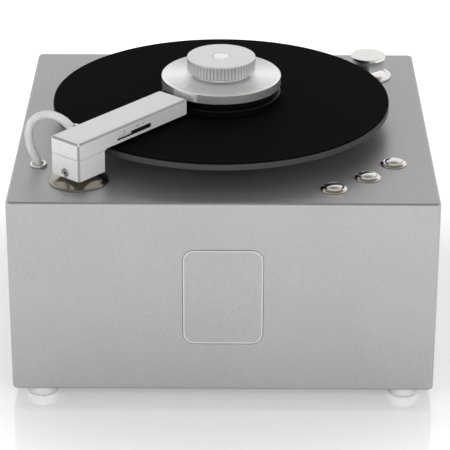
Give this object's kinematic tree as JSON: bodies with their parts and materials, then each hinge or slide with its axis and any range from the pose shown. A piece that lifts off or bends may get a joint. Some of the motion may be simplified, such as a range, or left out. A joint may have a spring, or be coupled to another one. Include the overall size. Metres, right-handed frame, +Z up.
{
  "type": "record cleaning machine",
  "caption": "Record cleaning machine: satin metal casing with a turntable, screw-down record clamp, swinging suction arm with its hose, push buttons and a vacuum blower and waste tank inside.",
  "frame": {"origin": "centre of the bounding box's bottom, on the table under the feet", "axes": "+Z up; -Y towards the front with the badge; +X to the right, seen from the front"},
  "size_m": [0.34, 0.3438, 0.2336],
  "materials": {
    "satin_aluminium": "fine bead-blasted satin",
    "chrome": "polished",
    "steel": "plain machined",
    "platter_grey": "fine speckled grey",
    "mat_rubber": "matt",
    "seal_rubber": "glossy",
    "foot_rubber": "pale, smooth",
    "hose_plastic": "translucent white",
    "black_rubber": "matt",
    "velvet": "short pile",
    "black_paint": "fine textured powder coat",
    "black_plastic": "moulded",
    "tank_plastic": "cloudy moulded",
    "board": "lacquered circuit board"
  },
  "bodies": {
    "chassis": {"casing": "satin_aluminium", "front_badge": "satin_aluminium", "base_tray": "steel", "rear_panel": "black_paint", "foot_front_left": "foot_rubber", "foot_front_right": "foot_rubber", "foot_rear_left": "foot_rubber", "foot_rear_right": "foot_rubber", "bearing_housing": "steel", "upper_bearing": "steel", "lower_bearing": "steel", "motor_bracket": "steel", "platter_gearbox": "steel", "platter_motor": "steel", "button_bezel_1": "chrome", "button_bezel_2": "chrome", "button_bezel_3": "chrome", "rear_post": "chrome", "arm_flange": "chrome", "arm_bush": "steel", "hose_grommet": "chrome", "suction_hose": "hose_plastic", "inner_hose": "hose_plastic", "pump_hose": "black_rubber", "waste_tank": "tank_plastic", "tank_lid": "tank_plastic", "blower_housing": "black_paint", "blower_motor": "steel", "blower_mount": "black_rubber", "mains_inlet": "black_plastic", "switch_frame": "black_plastic", "drain_valve": "chrome", "power_supply": "steel", "control_board": "board"},
    "turntable": {"platter": "platter_grey", "platter_mat": "mat_rubber", "spindle": "chrome", "drive_coupling": "steel"},
    "clamp": {"clamp_seal": "seal_rubber", "clamp_disc": "satin_aluminium", "clamp_collar": "chrome"},
    "clamp_grip": {"clamp_knob": "satin_aluminium", "knob_inlay": "chrome"},
    "arm_pivot": {"arm_post": "steel", "post_clip": "steel", "lift_spring": "steel"},
    "arm": {"arm_block": "satin_aluminium", "arm_beam": "satin_aluminium", "arm_set_screw": "steel", "velvet_pad_near": "velvet", "velvet_pad_far": "velvet", "hose_spigot": "chrome"},
    "slider": {"size_slider": "chrome"},
    "button_1": {"button_cap_1": "chrome"},
    "button_2": {"button_cap_2": "chrome"},
    "button_3": {"button_cap_3": "chrome"},
    "rocker": {"power_rocker": "black_plastic"},
    "tap": {"drain_tap": "chrome"},
    "impeller": {"blower_impeller": "steel"}
  },
  "joints": [
    {"name": "platter_spin", "type": "hinge", "parent": "chassis", "child": "turntable", "pos_m": [-0.0027, -0.00275, 0.1745], "axis": [0, 0, 1], "continuous": true},
    {"name": "clamp_lift", "type": "slide", "parent": "turntable", "child": "clamp", "axis": [0, 0, 1], "range_m": [0, 0.045]},
    {"name": "clamp_turn", "type": "hinge", "parent": "clamp", "child": "clamp_grip", "pos_m": [-0.0027, -0.00275, 0.2225], "axis": [0, 0, 1], "continuous": true},
    {"name": "arm_swing", "type": "hinge", "parent": "chassis", "child": "arm_pivot", "pos_m": [-0.11499, -0.12676, 0.1745], "axis": [0, 0, 1], "range_deg": [-88, 0], "deforming": ["suction_hose"]},
    {"name": "arm_lift", "type": "slide", "parent": "arm_pivot", "child": "arm", "axis": [0, 0, 1], "range_m": [-0.0015, 0], "stiffness_N_per_m": 400, "springref_m": 0.01, "deforming": ["lift_spring"]},
    {"name": "slider_travel", "type": "slide", "parent": "arm", "child": "slider", "axis": [0.6459, 0.7635, 0], "range_m": [0, 0.021]},
    {"name": "button_1_press", "type": "slide", "parent": "chassis", "child": "button_1", "axis": [0, 0, -1], "range_m": [0, 0.0015], "stiffness_N_per_m": 200, "springref_m": -0.003},
    {"name": "button_2_press", "type": "slide", "parent": "chassis", "child": "button_2", "axis": [0, 0, -1], "range_m": [0, 0.0015], "stiffness_N_per_m": 200, "springref_m": -0.003},
    {"name": "button_3_press", "type": "slide", "parent": "chassis", "child": "button_3", "axis": [0, 0, -1], "range_m": [0, 0.0015], "stiffness_N_per_m": 200, "springref_m": -0.003},
    {"name": "rocker_tilt", "type": "hinge", "parent": "chassis", "child": "rocker", "pos_m": [0.006, 0.1526, 0.0505], "axis": [1, 0, 0], "range_deg": [-6.7, 0]},
    {"name": "drain_turn", "type": "hinge", "parent": "chassis", "child": "tap", "pos_m": [-0.115, 0.1685, 0.0305], "axis": [0, 1, 0], "range_deg": [0, 90]},
    {"name": "impeller_spin", "type": "hinge", "parent": "chassis", "child": "impeller", "pos_m": [0.095, 0.03915, 0.042], "axis": [0, 0, 1], "continuous": true}
  ]
}
